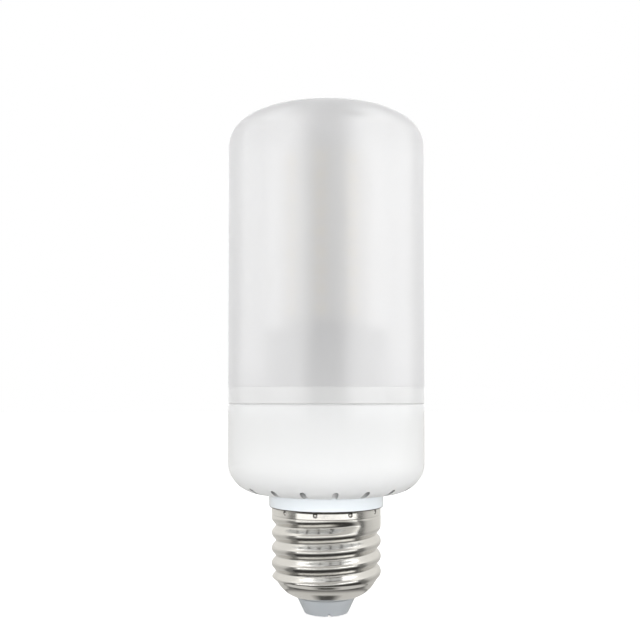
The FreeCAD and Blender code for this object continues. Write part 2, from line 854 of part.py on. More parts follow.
def parts():
    """Every piece, by the name of its file."""
    pieces = {
        "frosted_cover": cover(),
        "deck_ring": deck_ring(),
        "base_cup": base_cup(),
        "screw_shell": screw_shell(),
        "cap_insulator": cap_insulator(),
        "centre_contact": centre_contact(),
        "led_former": led_former(),
        "flex_board": flex_board(),
        "top_board": top_board(),
        "top_lights": top_lights(),
        "deck_screws": deck_screws(),
        "driver_board": driver_board(),
        "smoothing_capacitor": smoothing_capacitor(),
        "choke_core": choke_core(),
        "choke_winding": choke_winding(),
        "bridge_rectifier": package(bridge_place, bridge_size, bridge_lead_count, bridge_lead_pitch),
        "driver_chip": package(driver_place, driver_size, driver_lead_count, chip_lead_pitch),
        "flame_controller": package(controller_place, controller_size, controller_lead_count, chip_lead_pitch),
        "fusible_resistor": fusible_resistor(),
        "tilt_switch": tilt_switch(),
        "live_wire": live_wire(),
        "neutral_wire": neutral_wire(),
    }
    for index in range(row_count):
        pieces[f"side_light_row_{index + 1}"] = light_row(index)
    return pieces


os.makedirs("parts", exist_ok=True)
for name, shape in parts().items():
    shape.exportStep(f"parts/{name}.step")
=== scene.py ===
import math
import bpy
import numpy as np
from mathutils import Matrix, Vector


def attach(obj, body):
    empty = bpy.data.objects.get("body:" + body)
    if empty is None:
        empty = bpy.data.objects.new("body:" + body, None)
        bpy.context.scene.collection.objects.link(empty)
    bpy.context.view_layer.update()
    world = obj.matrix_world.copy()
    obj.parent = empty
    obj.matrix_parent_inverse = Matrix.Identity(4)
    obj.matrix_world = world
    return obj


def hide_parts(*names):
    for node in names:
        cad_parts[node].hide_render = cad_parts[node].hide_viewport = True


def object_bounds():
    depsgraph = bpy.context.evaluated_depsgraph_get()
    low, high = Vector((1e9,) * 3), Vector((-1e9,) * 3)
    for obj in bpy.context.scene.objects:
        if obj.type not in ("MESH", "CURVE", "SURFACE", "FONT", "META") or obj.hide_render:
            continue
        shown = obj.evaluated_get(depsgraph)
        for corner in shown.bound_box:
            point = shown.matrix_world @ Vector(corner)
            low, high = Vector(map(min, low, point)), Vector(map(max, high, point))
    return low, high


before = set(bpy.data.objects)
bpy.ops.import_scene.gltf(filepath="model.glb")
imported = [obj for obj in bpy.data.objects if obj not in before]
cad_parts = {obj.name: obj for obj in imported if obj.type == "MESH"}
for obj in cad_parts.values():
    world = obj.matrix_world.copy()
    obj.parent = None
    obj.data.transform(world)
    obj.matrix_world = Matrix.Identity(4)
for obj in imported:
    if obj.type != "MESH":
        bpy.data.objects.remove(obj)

cadLow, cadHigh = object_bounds()
pieces = dict(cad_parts)  # the rolled shell joins them below
perMetre = 1000  # finishes and shapes are worked out in millimetres
print("stage 1: frame loaded,", len(pieces), "pieces")


def heightsOf(name):  # the lowest and the highest point of a CAD node, in millimetres
    heights = [perMetre * corner[2] for corner in pieces[name].bound_box]
    return min(heights), max(heights)


class Signal:  # a node's output that can be written into sums
    def __init__(self, graph, socket):
        self.graph = graph
        self.socket = socket

    def maths(self, operation, *others):
        return self.graph.maths(operation, self, *others)

    def __add__(self, other):
        return self.maths("ADD", other)

    def __sub__(self, other):
        return self.maths("SUBTRACT", other)

    def __rsub__(self, other):
        return self.graph.maths("SUBTRACT", other, self)

    def __mul__(self, other):
        return self.maths("MULTIPLY", other)

    def __truediv__(self, other):
        return self.maths("DIVIDE", other)

    def __rtruediv__(self, other):
        return self.graph.maths("DIVIDE", other, self)

    def __pow__(self, other):
        return self.maths("POWER", other)

    def __rpow__(self, other):
        return self.graph.maths("POWER", other, self)

    def __neg__(self):
        return self.maths("MULTIPLY", -1)

    def __abs__(self):
        return self.maths("ABSOLUTE")

    __radd__ = __add__
    __rmul__ = __mul__

    def larger(self, other):
        return self.maths("MAXIMUM", other)

    def wave(self):  # its sine, from 0 to 1
        return self.maths("SINE") * 0.5 + 0.5

    def wrapped(self, step):  # how far it is past the nearest whole multiple of step
        return self.maths("WRAP", step / 2, -step / 2)

    def edge(self, start, end):  # 0 before start and 1 after end, or the other way where end is lower
        ramp = self.graph.node("ShaderNodeMapRange", {"interpolation_type": "SMOOTHSTEP", "clamp": True},
                               {"Value": self, "From Min": min(start, end), "From Max": max(start, end)})
        return ramp if start < end else 1 - ramp


class Graph:  # the nodes of one material or of the world
    def __init__(self, tree):
        self.tree = tree
        tree.nodes.clear()

    def node(self, kind, settings, inputs, output=0):  # settings first, then values or links of sockets
        made = self.tree.nodes.new(kind)
        for key, value in settings.items():
            if key == "stops":
                ramp = made.color_ramp
                if len(value) == 1:
                    ramp.elements.remove(ramp.elements[0])
                while len(ramp.elements) < len(value):
                    ramp.elements.new(0.5)
                for element, (position, tint) in zip(ramp.elements, value):
                    element.position = position
                    element.color = (*tint, 1)
            elif key == "steps":
                made.color_ramp.interpolation = value
            else:
                setattr(made, key, value)
        for key, value in inputs.items():
            self.feed(made.inputs[key], value)
        return Signal(self, made.outputs[output]) if made.outputs else None

    def feed(self, socket, value):
        if isinstance(value, Signal):
            self.tree.links.new(value.socket, socket)
        elif socket.type == "RGBA" and len(value) == 3:
            socket.default_value = (*value, 1)
        else:
            socket.default_value = value

    def maths(self, operation, *values):
        return self.node("ShaderNodeMath", {"operation": operation}, dict(enumerate(values)))

    def vectors(self, operation, inputs):
        return self.node("ShaderNodeVectorMath", {"operation": operation}, inputs)


class Finish(Graph):  # one procedural material, with x, y, z in the row's frame, in millimetres
    def __init__(self, name, shader):
        self.material = bpy.data.materials.new(name)
        self.material.use_nodes = True
        super().__init__(self.material.node_tree)
        surface = self.node("ShaderNodeBsdfPrincipled", {}, {})
        self.node("ShaderNodeOutputMaterial", {}, {0: surface})
        self.shader = surface.socket.node
        self.set(**shader)
        coordinate = self.node("ShaderNodeTexCoord", {}, {}, "Object")
        self.where = self.vectors("SCALE", {0: coordinate, "Scale": perMetre})
        split = self.node("ShaderNodeSeparateXYZ", {}, {0: self.where}).socket.node
        self.x, self.y, self.z = [Signal(self, output) for output in split.outputs]

    def set(self, **inputs):  # Base_Color stands for the socket Base Color
        for key, value in inputs.items():
            self.feed(self.shader.inputs[key.replace("_", " ")], value)

    def radius(self):  # distance from the axis
        return radiusOf(self.x, self.y)

    def angle(self):  # degrees round the axis from +X
        return angleOf(self.x, self.y)

    def noise(self, scale, detail, stretch=None):
        where = self.vectors("MULTIPLY", {0: self.where, 1: stretch}) if stretch else self.where
        return self.node("ShaderNodeTexNoise", {}, {"Vector": where, "Scale": scale, "Detail": detail})

    def mix(self, factor, first, second):
        return self.node("ShaderNodeMix", {"data_type": "RGBA", "clamp_factor": True},
                         {0: factor, 6: first, 7: second}, 2)

    def bump(self, height, depth, strength):  # depth in millimetres
        inputs = {"Height": height, "Distance": depth / perMetre, "Strength": strength}
        return self.node("ShaderNodeBump", {}, inputs)

    def on(self, *names):
        for name in names:
            slots = pieces[name].data.materials
            slots.clear()
            slots.append(self.material)


def radiusOf(x, y):
    return (x * x + y * y) ** 0.5


def angleOf(x, y):  # degrees from +X
    return y.maths("ARCTAN2", x) * (180 / math.pi)


def shadesOf(colour, darker, lighter):  # a slightly darker and a slightly lighter one
    return [v * darker for v in colour], [min(1, v * lighter) for v in colour]


view = {"distance": 0.2046, "height": 0.05137, "side": -0.0015, "tiltUp": 1.65, "lens": 47.52,
        "shiftY": 0.085, "clipStart": 0.01}


def makeCamera():
    data = bpy.data.cameras.new("camera")
    data.lens = view["lens"]
    data.shift_y = view["shiftY"]
    data.clip_start = view["clipStart"]
    camera = bpy.data.objects.new("camera", data)
    bpy.context.scene.collection.objects.link(camera)
    camera.location = (view["side"], -view["distance"], view["height"])
    camera.rotation_euler = (math.radians(90 + view["tiltUp"]), 0, 0)
    bpy.context.scene.camera = camera


makeCamera()
bpy.context.scene.view_settings.view_transform = "Standard"
print("stage 2: camera")


thread = {
    "pitch": 25.4 / 7, "crest": 13.2, "root": 12.1, "wall": 0.35,
    "turns": 6,                    # the lowest run into the taper
    "grooveAtFront": 22.0,         # height of the top groove's middle at the front
    "fadeStart": 270, "fadeAngle": 46,
    "valleySharpness": 0.7,        # below 1 the valleys are narrower than the crests
    "flangeRadius": 13.7, "skirtRadius": 13.1, "rim": 25.85, "skirtBottom": 23.85, "flareBottom": 23.25,
    "flangeDrops": (0.0, 0.1, 0.2),
    "flangeBend": ((0.35, 0.27), (0.17, 0.33), (0.05, 0.45)),  # out from the skirt, down from the rim
    "skirtStart": 0.6,             # down from the rim
    "flareShares": (0.3, 0.6),     # places of the points between the skirt and the thread
    "bottom": 4.25, "taperStart": 7.15, "taperEnd": (11.9, 8.05), "taperArc": 7.2, "coneTop": 9.05,
    "coneShares": (0.15, 0.3, 0.45, 0.6, 0.75, 0.9),
    "blend": 0.28,                 # how far the taper and the thread run into each other
    "skirtPoints": 21, "rolledPoints": 122, "taperPoints": 34,
    "innerEvery": 3,               # the inside has one point for three of the outside
    "punchCount": 10, "punchAngle": -65.5, "punchBelowRim": 0.95,
    "punchRadius": 0.55, "punchDepth": 0.2, "punchFlatness": 0.8,
    "closeReach": 2.8,             # degrees to each side of a mark
    "closePoints": 15, "widePoints": 17,                       # at a mark, and from one to the next
}
punchStep = 360 / thread["punchCount"]


def taperPoints():  # the round end of the shell, top first
    start, end = np.array([thread["taperStart"], thread["bottom"]]), np.array(thread["taperEnd"])
    chord = end - start
    length = np.linalg.norm(chord)
    across = np.array([-chord[1], chord[0]]) / length
    centre = (start + end) / 2 + across * math.sqrt(thread["taperArc"] ** 2 - length ** 2 / 4)
    ends = [math.atan2(*(point - centre)[::-1]) for point in (end, start)]
    turns = np.linspace(*ends, thread["taperPoints"])
    return [centre + thread["taperArc"] * np.array([math.cos(turn), math.sin(turn)]) for turn in turns]


def shellEnvelope():  # radius and height of points down the shell, rim first, before the thread is rolled
    skirt, crest, rim = thread["skirtRadius"], thread["crest"], thread["rim"]
    skirtBottom, flareBottom, coneTop = thread["skirtBottom"], thread["flareBottom"], thread["coneTop"]
    flange = [(thread["flangeRadius"], rim - drop) for drop in thread["flangeDrops"]]
    bend = [(skirt + out, rim - drop) for out, drop in thread["flangeBend"]]
    wallHeights = np.linspace(rim - thread["skirtStart"], skirtBottom, thread["skirtPoints"])
    wall = [(skirt, height) for height in wallHeights]
    flare = [(skirt + (crest - skirt) * share, skirtBottom - (skirtBottom - flareBottom) * share)
             for share in thread["flareShares"]]
    rolled = [(crest, height) for height in np.linspace(flareBottom, coneTop, thread["rolledPoints"])]
    coneStart, coneEnd = np.array([crest, coneTop]), np.array(thread["taperEnd"])
    cone = [coneStart * (1 - share) + coneEnd * share for share in thread["coneShares"]]
    return np.array([*flange, *bend, *wall, *flare, *rolled, *cone, *taperPoints()])


def grooveDepth(angle, height):  # how far the rolled thread sinks in at an angle and a height
    depth = np.zeros_like(height)
    for turn in range(thread["turns"]):
        wound = angle + 360 * (1 - turn)
        middle = thread["grooveAtFront"] + thread["pitch"] * (wound - 360 + 90) / 360
        away = np.clip(np.abs(height - middle) / thread["pitch"], 0, 0.5)
        fade = np.clip((wound - thread["fadeStart"]) / thread["fadeAngle"], 0, 1)
        strength = 1 - fade * fade * (3 - 2 * fade)
        swell = (0.5 - 0.5 * np.cos(2 * math.pi * away)) ** thread["valleySharpness"]
        depth = np.maximum(depth, strength * (thread["crest"] - thread["root"]) * (1 - swell))
    return depth


def punchDepth(angle, height):  # how far the punched marks under the rim sink in
    away = (angle - thread["punchAngle"] + punchStep / 2) % punchStep - punchStep / 2
    side = away * math.pi / 180 * thread["skirtRadius"]
    drop = height - (thread["rim"] - thread["punchBelowRim"])
    reach = np.clip(np.sqrt(side ** 2 + drop ** 2) / thread["punchRadius"], 0, 1)
    return thread["punchDepth"] * (1 - reach ** 2) ** thread["punchFlatness"]


def softLower(first, second, blend):  # the lower of two, rounded where they meet
    share = np.clip(0.5 + 0.5 * (second - first) / blend, 0, 1)
    return second * (1 - share) + first * share - blend * share * (1 - share)


def shellAngles():  # angles round the shell, closer together at the punched marks
    reach = thread["closeReach"]
    close = np.linspace(-reach, reach, thread["closePoints"])
    wide = np.linspace(reach, punchStep - reach, thread["widePoints"])[1:-1]
    marks = [thread["punchAngle"] + punchStep * mark for mark in range(thread["punchCount"])]
    return np.array([mark + away for mark in marks for away in [*close, *wide]])


def shellRings():  # radius and height all the way round the sheet's section, at each angle
    profile = shellEnvelope()
    wrapped = (shellAngles() + 180) % 360 - 180
    angle, radius = np.meshgrid(wrapped, profile[:, 0], indexing="ij")
    height = np.meshgrid(wrapped, profile[:, 1], indexing="ij")[1]
    rolled = softLower(radius, thread["crest"] - grooveDepth(angle, height), thread["blend"])
    rolled = np.where(height > thread["skirtBottom"], radius, rolled)
    outer = np.stack([rolled - punchDepth(angle, height), height], -1)
    middle = np.stack([rolled, height], -1)
    along = np.gradient(middle, axis=1)
    along /= np.linalg.norm(along, axis=-1, keepdims=True)
    outward = np.stack([-along[..., 1], along[..., 0]], -1)
    keep = [*range(0, len(profile), thread["innerEvery"]), len(profile) - 1]
    inner = (middle - thread["wall"] * outward)[:, keep][:, ::-1]
    return np.concatenate([outer, inner], 1), len(profile)


def makeShell():
    rings, outerCount = shellRings()
    turn = np.radians(shellAngles())[:, None]
    radius, height = rings[..., 0], rings[..., 1]
    points = np.stack([radius * np.cos(turn), radius * np.sin(turn), height], -1) / perMetre
    ringCount, around = rings.shape[:2]
    faces = []
    for ring in range(ringCount):
        start = ring * around
        beside = (ring + 1) % ringCount * around
        for point in range(around):
            after = (point + 1) % around
            faces.append((start + point, start + after, beside + after, beside + point))
    mesh = bpy.data.meshes.new("rolledShell")
    mesh.from_pydata(points.reshape(-1, 3).tolist(), [], faces)
    mesh.shade_smooth()
    for polygon in mesh.polygons:
        if polygon.index % around in (outerCount - 1, around - 1):  # the sheet's cut edges
            polygon.use_smooth = False
    piece = bpy.data.objects.new("rolledShell", mesh)
    bpy.context.scene.collection.objects.link(piece)
    return piece


rolledShell = makeShell()
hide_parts("screw_shell")
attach(rolledShell, "root")
pieces["rolledShell"] = rolledShell
print("stage 3: rolled shell,", len(rolledShell.data.polygons), "faces")


# in the finishes, a tone is the darkest and the lightest share of the colour, a noise is its scale, its
# detail and how it is stretched, and a bump is its depth in millimetres and its strength
cover = {
    "colour": (0.65, 0.65, 0.655), "tone": (0.985, 1.012),
    "cloud": (0.06, 3), "flow": (0.35, 2, (1, 1, 0.12)), "etch": (9.0, 4), "bump": (0.006, 0.35),
    "cloudShare": 0.5, "flowShare": 0.3, "roughness": 0.62, "etchRoughness": 0.06,
    "seeThrough": 0.30, "bend": 1.2, "sheen": 0.9, "sheenRoughness": 0.32, "sheenBend": 1.8,
    "top": heightsOf("frosted_cover")[1], "body": perMetre * cadHigh[0],
    "crown": 160.0, "shoulder": 6.7, "wall": 1.5, "skinBlend": 0.05,
}


def outerSkin(reach, outside):  # 1 on the outer face of a wall with this outer radius, 0 on its inner one
    middle = outside - cover["wall"] / 2
    return reach.edge(middle - cover["skinBlend"], middle + cover["skinBlend"])


def coverSkin(finish):  # 1 on the outer skin of the cover, 0 on its inner skin
    inset = cover["body"] - cover["shoulder"]
    crownMiddle = cover["top"] - cover["crown"]
    shoulderMiddle = crownMiddle + math.sqrt((cover["crown"] - cover["shoulder"]) ** 2 - inset ** 2)
    radius = finish.radius()
    side = outerSkin(radius, cover["body"])
    crown = outerSkin(radiusOf(radius, finish.z - crownMiddle), cover["crown"])
    over = (radius - inset).larger(0)
    above = (finish.z - shoulderMiddle).larger(0)
    pastInset = radius.edge(inset - 2 * cover["skinBlend"], inset)
    shoulder = outerSkin(radiusOf(over, above), cover["shoulder"]) * pastInset
    return side.larger(crown).larger(shoulder)


def frostedFinish():
    finish = Finish("frostedPlastic", {
        "Transmission_Weight": cover["seeThrough"], "IOR": cover["bend"], "Coat_Weight": cover["sheen"],
        "Coat_Roughness": cover["sheenRoughness"], "Coat_IOR": cover["sheenBend"]})
    cloud, flow, etch = [finish.noise(*cover[name]) for name in ("cloud", "flow", "etch")]
    shade = cloud * cover["cloudShare"] + flow * cover["flowShare"]
    finish.set(Base_Color=finish.mix(shade, *shadesOf(cover["colour"], *cover["tone"])),
               Roughness=cover["roughness"] + (etch - 0.5) * cover["etchRoughness"],
               Alpha=coverSkin(finish), Normal=finish.bump(etch, *cover["bump"]))
    return finish


frostedFinish().on("frosted_cover")


plastic = {
    "colour": (0.635, 0.640, 0.641), "tone": (0.985, 1.012),
    # the vent colour here is painted shade on the vents' walls, standing for the dark inside of the housing
    "ring": (0.545, 0.547, 0.547), "collar": (0.665, 0.705, 0.735), "ventPaintedShade": (0.26, 0.26, 0.26),
    "cloud": (0.09, 3), "flow": (0.5, 2, (1, 1, 0.15)), "grain": (6.0, 4), "bump": (0.004, 0.3),
    "cloudShare": 0.6, "flowShare": 0.3,
    "roughness": 0.34, "collarRoughness": 0.10, "grainRoughness": 0.08,
    "bend": 1.5, "sheen": 0.35, "ringSheen": 0.60, "sheenRoughness": 0.30, "sheenBend": 1.8,
    "collarTop": (29.0, 28.9), "ringBottom": heightsOf("base_cup")[1], "ringBlend": 0.02,
    "ventCount": 18, "ventAngle": -84.8, "ventWidth": 1.25, "ventTop": (33.7, 33.6),
    "shadeStart": 17.4, "ventEnd": 21.29,  # distances from the axis
    "ventEdge": (0.01, 0.03),             # beyond the vent's walls
}


def ventPaintedShade(finish):  # painted shade: grows to 1 on the walls at the outer end of each vent, which it darkens as if in shade
    past = (finish.angle() - plastic["ventAngle"]).wrapped(360 / plastic["ventCount"])
    radius = finish.radius()
    across = abs((past * (math.pi / 180)).maths("SINE") * radius)
    half = plastic["ventWidth"] / 2
    middle = plastic["ventEnd"] - half  # of the round end
    near, far = plastic["ventEdge"]
    inside = radiusOf((radius - middle).larger(0), across).edge(half + far, half + near)
    return inside * radius.edge(plastic["shadeStart"], middle) * finish.z.edge(*plastic["ventTop"])


def whiteFinish():
    finish = Finish("whitePlastic", {
        "IOR": plastic["bend"], "Coat_IOR": plastic["sheenBend"],
        "Coat_Roughness": plastic["sheenRoughness"]})
    collar = finish.z.edge(*plastic["collarTop"])
    ring = (finish.z - plastic["ringBottom"]).edge(-plastic["ringBlend"], plastic["ringBlend"])
    cloud, flow, grain = [finish.noise(*plastic[name]) for name in ("cloud", "flow", "grain")]
    shade = cloud * plastic["cloudShare"] + flow * plastic["flowShare"]
    tint = finish.mix(shade, *shadesOf(plastic["colour"], *plastic["tone"]))
    # the last mask paints shade on the vents' walls
    for mask, name in ((collar, "collar"), (ring, "ring"), (ventPaintedShade(finish), "ventPaintedShade")):
        tint = finish.mix(mask, tint, plastic[name])
    smoother = collar * (plastic["roughness"] - plastic["collarRoughness"])
    finish.set(Base_Color=tint,
               Roughness=plastic["roughness"] + (grain - 0.5) * plastic["grainRoughness"] - smoother,
               Coat_Weight=plastic["sheen"] + ring * (plastic["ringSheen"] - plastic["sheen"]),
               Normal=finish.bump(grain, *plastic["bump"]))
    return finish


whiteFinish().on("base_cup", "deck_ring")


nickel = {
    "colour": (0.82, 0.81, 0.78), "tone": (0.96, 1.03),
    "cloud": (0.35, 3), "rollLines": (5.5, 2, (0.05, 0.05, 1)), "smear": (0.8, 4, (1, 1, 2.5)),
    "roughness": 0.17, "smearEdge": (0.45, 0.75), "smearRoughness": 0.05, "bump": (0.004, 0.25),
    "dullEdgeAndShade": (0.10, 0.09, 0.08), "cutEdge": (13.55, 13.6), "cutRoughness": 0.3,   # the edge of the sheet, darkened partly as dull cut metal and partly as painted shadow of the gap under the collar
    "punchShadeInside": (0.22, 0.34), "punchShadeOutside": (0.58, 0.46), "punchShadeShare": 0.75,  # the rim of each mark, darkened with painted shade and some dirt
}


def nickelFinish():
    finish = Finish("brightNickel", {"Metallic": 1.0})
    cloud, lines, smear = [finish.noise(*nickel[name]) for name in ("cloud", "rollLines", "smear")]
    cut = finish.radius().edge(*nickel["cutEdge"])
    past = (finish.angle() - thread["punchAngle"]).wrapped(punchStep)
    across = past * (math.pi / 180 * thread["skirtRadius"])
    reach = radiusOf(across, finish.z - thread["rim"] + thread["punchBelowRim"])
    # a ring of painted shade round each punched mark, with some dirt
    punchShade = reach.edge(*nickel["punchShadeInside"]) * reach.edge(*nickel["punchShadeOutside"])
    tint = finish.mix(cloud, *shadesOf(nickel["colour"], *nickel["tone"]))
    # the cut edge and the rims of the punched marks get a dark colour: painted shade, with dull cut metal at
    # the edge and some dirt at the marks
    tint = finish.mix(cut.larger(punchShade * nickel["punchShadeShare"]), tint, nickel["dullEdgeAndShade"])
    rough = nickel["roughness"] + smear.edge(*nickel["smearEdge"]) * nickel["smearRoughness"]
    finish.set(Base_Color=tint, Roughness=rough + cut * nickel["cutRoughness"],
               Normal=finish.bump(lines, *nickel["bump"]))
    return finish


nickelFinish().on("rolledShell", "screw_shell")


# plain mouldings: each has a cloudy colour and a fine grain
mouldings = {
    "greyInsulator": {"colour": (0.355, 0.375, 0.393), "tone": (0.96, 1.03), "cloud": (0.5, 3),
                      "grain": (7.0, 4), "bump": (0.006, 0.4), "roughness": 0.34, "grainRoughness": 0.1,
                      "bend": 1.5, "on": ["cap_insulator"]},
    "formerPlastic": {"colour": (0.20, 0.20, 0.20), "roughness": 0.5, "on": ["led_former"]},
    "ferriteGrain": {"colour": (0.05, 0.05, 0.052), "roughness": 0.55, "grain": (9.0, 4),
                     "on": ["choke_core"]},
    "liveRubber": {"colour": (0.50, 0.03, 0.025), "roughness": 0.45, "on": ["live_wire"]},
    "neutralRubber": {"colour": (0.03, 0.03, 0.032), "roughness": 0.45, "on": ["neutral_wire"]},
}
plainMoulding = {"tone": (0.95, 1.04), "cloud": (0.2, 3), "grain": (5.0, 4), "bump": (0.008, 0.4),
                 "grainRoughness": 0.12, "bend": 1.48}


def mouldedFinish(name, moulding):
    finish = Finish(name, {"IOR": moulding["bend"]})
    grain = finish.noise(*moulding["grain"])
    tint = finish.mix(finish.noise(*moulding["cloud"]), *shadesOf(moulding["colour"], *moulding["tone"]))
    finish.set(Base_Color=tint, Roughness=moulding["roughness"] + (grain - 0.5) * moulding["grainRoughness"],
               Normal=finish.bump(grain, *moulding["bump"]))
    return finish


for name, moulding in mouldings.items():
    mouldedFinish(name, plainMoulding | moulding).on(*moulding["on"])


metals = {
    "contactMetal": {"colour": (0.76, 0.74, 0.70), "roughness": 0.16, "scratch": (6.0, 3, (1, 0.12, 1)),
                     "on": ["centre_contact"]},
    "screwSteel": {"colour": (0.60, 0.60, 0.61), "roughness": 0.24, "scratch": (9.0, 3, (1, 0.12, 1)),
                   "on": ["deck_screws", "tilt_switch"]},
}
plainMetal = {"tone": (0.94, 1.04), "cloud": (0.8, 3), "scratchRoughness": 0.12, "bump": (0.003, 0.3)}


def metalFinish(name, metal):
    finish = Finish(name, {"Metallic": 1.0})
    scratch = finish.noise(*metal["scratch"])
    tint = finish.mix(finish.noise(*metal["cloud"]), *shadesOf(metal["colour"], *metal["tone"]))
    finish.set(Base_Color=tint, Roughness=metal["roughness"] + scratch * metal["scratchRoughness"],
               Normal=finish.bump(scratch, *metal["bump"]))
    return finish


for name, metal in metals.items():
    metalFinish(name, plainMetal | metal).on(*metal["on"])


lights = {
    "rows": [f"side_light_row_{row + 1}" for row in range(9)],
    "perRow": 8, "firstAngle": 127.7, "radius": 9.15,
    "sideFace": (9.0, 9.1),       # distance from the axis
    "topCount": 4, "topAngle": 60.2, "topRadius": 4.3,
    "topFace": (112.25, 112.4),   # height
    "window": (1.05, 1.4),        # half its width and half its length
    "windowEdge": (0.08, -0.12), "ends": (1.62, 1.68),
    "frame": (0.86, 0.86, 0.84), "phosphor": (0.86, 0.62, 0.20), "tone": (0.85, 1.1),
    "tinned": (0.75, 0.75, 0.73),
    "speck": (6.0, 4), "speckRoughness": 0.1, "speckHeight": 0.1, "bump": (0.08, 0.6),
    "bend": 1.45, "roughness": 0.42, "endRoughness": 0.15, "endMetal": 0.9,
}
firstRow, secondRow = [sum(heightsOf(name)) / 2 for name in lights["rows"][:2]]


def chipFinish(finish, across, along, onFace):  # amber window in a white frame, with tinned ends
    halfWidth, halfLength = lights["window"]
    outside = (abs(across) - halfWidth).larger(abs(along) - halfLength)
    window = outside.edge(*lights["windowEdge"]) * onFace
    ends = abs(along).edge(*lights["ends"])
    speck = finish.noise(*lights["speck"])
    phosphor = finish.mix(speck, *shadesOf(lights["phosphor"], *lights["tone"]))
    tint = finish.mix(window, finish.mix(ends, lights["frame"], lights["tinned"]), phosphor)
    rough = lights["roughness"] - ends * lights["endRoughness"] + speck * lights["speckRoughness"]
    finish.set(Base_Color=tint, Roughness=rough, Metallic=ends * lights["endMetal"],
               Normal=finish.bump(window + speck * lights["speckHeight"], *lights["bump"]))
    return finish


def sideLightFinish():
    finish = Finish("sideLight", {"IOR": lights["bend"]})
    past = (finish.angle() - lights["firstAngle"]).wrapped(360 / lights["perRow"])
    across = past * (math.pi / 180 * lights["radius"])
    along = (finish.z - firstRow).wrapped(secondRow - firstRow)
    return chipFinish(finish, across, along, finish.radius().edge(*lights["sideFace"]))


def topLightFinish():
    finish = Finish("topLight", {"IOR": lights["bend"]})
    step = 360 / lights["topCount"]
    nearest = ((finish.angle() - lights["topAngle"]) / step).maths("ROUND")
    turn = nearest * math.radians(step) + math.radians(lights["topAngle"])
    cosine, sine = turn.maths("COSINE"), turn.maths("SINE")
    along = finish.x * cosine + finish.y * sine - lights["topRadius"]
    across = finish.y * cosine - finish.x * sine
    return chipFinish(finish, across, along, finish.z.edge(*lights["topFace"]))


sideLightFinish().on(*lights["rows"])
topLightFinish().on("top_lights")


board = {
    "angle": 15.2, "lacquer": (0.80, 0.81, 0.79), "overTrack": (0.688, 0.6966, 0.6794), "trackShare": 0.4,
    # the hole colour is painted shade inside the holes
    "copper": (0.74, 0.75, 0.72), "hole": (0.08, 0.07, 0.05),
    "weave": {"Scale": 1.4, "Distortion": 0.4},
    "tracks": {"Scale": 0.42, "Mortar Size": 0.035, "Mortar Smooth": 0.1},
    "pads": {"Scale": 0.38, "Randomness": 0.55}, "padEdge": (0.17, 0.14), "holeEdge": (0.07, 0.055),
    "bend": 1.5, "roughness": 0.38, "padRoughness": 0.12, "weaveRoughness": 0.05, "padMetal": 0.8,
    "trackHeight": 0.6, "holeDepth": 2, "weaveHeight": 0.1, "bump": (0.03, 0.5),
}


def alongBoard(finish):  # millimetres from the axis along the driver board
    turn = math.radians(board["angle"])
    return finish.x * math.cos(turn) + finish.y * math.sin(turn)


def throughBoard(finish):  # millimetres from the axis through the driver board
    turn = math.radians(board["angle"])
    return finish.y * math.cos(turn) - finish.x * math.sin(turn)


def boardFinish():
    finish = Finish("circuitBoard", {"IOR": board["bend"]})
    flat = finish.node("ShaderNodeCombineXYZ", {}, {0: alongBoard(finish), 1: finish.z, 2: 0})
    weave = finish.node("ShaderNodeTexWave", {"wave_type": "BANDS", "bands_direction": "Z"},
                        {"Vector": finish.where, **board["weave"]})
    tracks = finish.node("ShaderNodeTexBrick", {"offset": 0.35, "squash": 1.6, "squash_frequency": 3},
                         {"Vector": flat, **board["tracks"]}, 1)
    cells = finish.node("ShaderNodeTexVoronoi", {"feature": "F1"}, {"Vector": finish.where, **board["pads"]})
    pad, hole = cells.edge(*board["padEdge"]), cells.edge(*board["holeEdge"])
    tint = finish.mix(tracks * board["trackShare"], board["lacquer"], board["overTrack"])
    # the holes are painted a dark colour: painted shade inside them
    tint = finish.mix(hole, finish.mix(pad, tint, board["copper"]), board["hole"])
    rough = board["roughness"] - pad * board["padRoughness"] + weave * board["weaveRoughness"]
    height = tracks * board["trackHeight"] + pad - hole * board["holeDepth"] + weave * board["weaveHeight"]
    finish.set(Base_Color=tint, Roughness=rough, Metallic=pad * (1 - hole) * board["padMetal"],
               Normal=finish.bump(height, *board["bump"]))
    return finish


boardFinish().on("driver_board", "top_board")


sheet = {
    "shades": ((0.70, 0.70, 0.68), (0.76, 0.76, 0.74)), "copper": (0.60, 0.57, 0.48), "copperShare": 0.35,
    "trackTurn": 0.16, "trackEdge": (0.86, 0.93), "rungEdge": (1.9, 2.0), "rungShare": 0.6,
    "cloud": (0.4, 3), "bend": 1.5, "roughness": 0.4, "cloudRoughness": 0.1, "bump": (0.02, 0.5),
}


def sheetFinish():
    finish = Finish("flexibleSheet", {"IOR": sheet["bend"]})
    track = (finish.angle() * sheet["trackTurn"]).wave().edge(*sheet["trackEdge"])
    rung = abs((finish.z - firstRow).wrapped(secondRow - firstRow)).edge(*sheet["rungEdge"])
    cloud = finish.noise(*sheet["cloud"])
    copper = (track + rung * sheet["rungShare"]) * sheet["copperShare"]
    finish.set(Base_Color=finish.mix(copper, finish.mix(cloud, *sheet["shades"]), sheet["copper"]),
               Roughness=sheet["roughness"] + cloud * sheet["cloudRoughness"],
               Normal=finish.bump(track + rung, *sheet["bump"]))
    return finish


sheetFinish().on("flex_board")


sleeve = {
    "colour": (0.02, 0.024, 0.04), "stripe": (0.55, 0.56, 0.58),
    "leads": (0.75, 0.75, 0.74), "can": (0.72, 0.72, 0.72),
    "bottom": (16.5, 16.3), "top": (27.6, 27.9), "stripeMiddle": -2.6, "stripeEdge": (1.05, 0.9),
    "shrink": (1.4, 3, (1, 1, 0.3)), "bend": 1.5, "roughness": 0.28, "shrinkRoughness": 0.12,
    "bump": (0.03, 0.4),
}


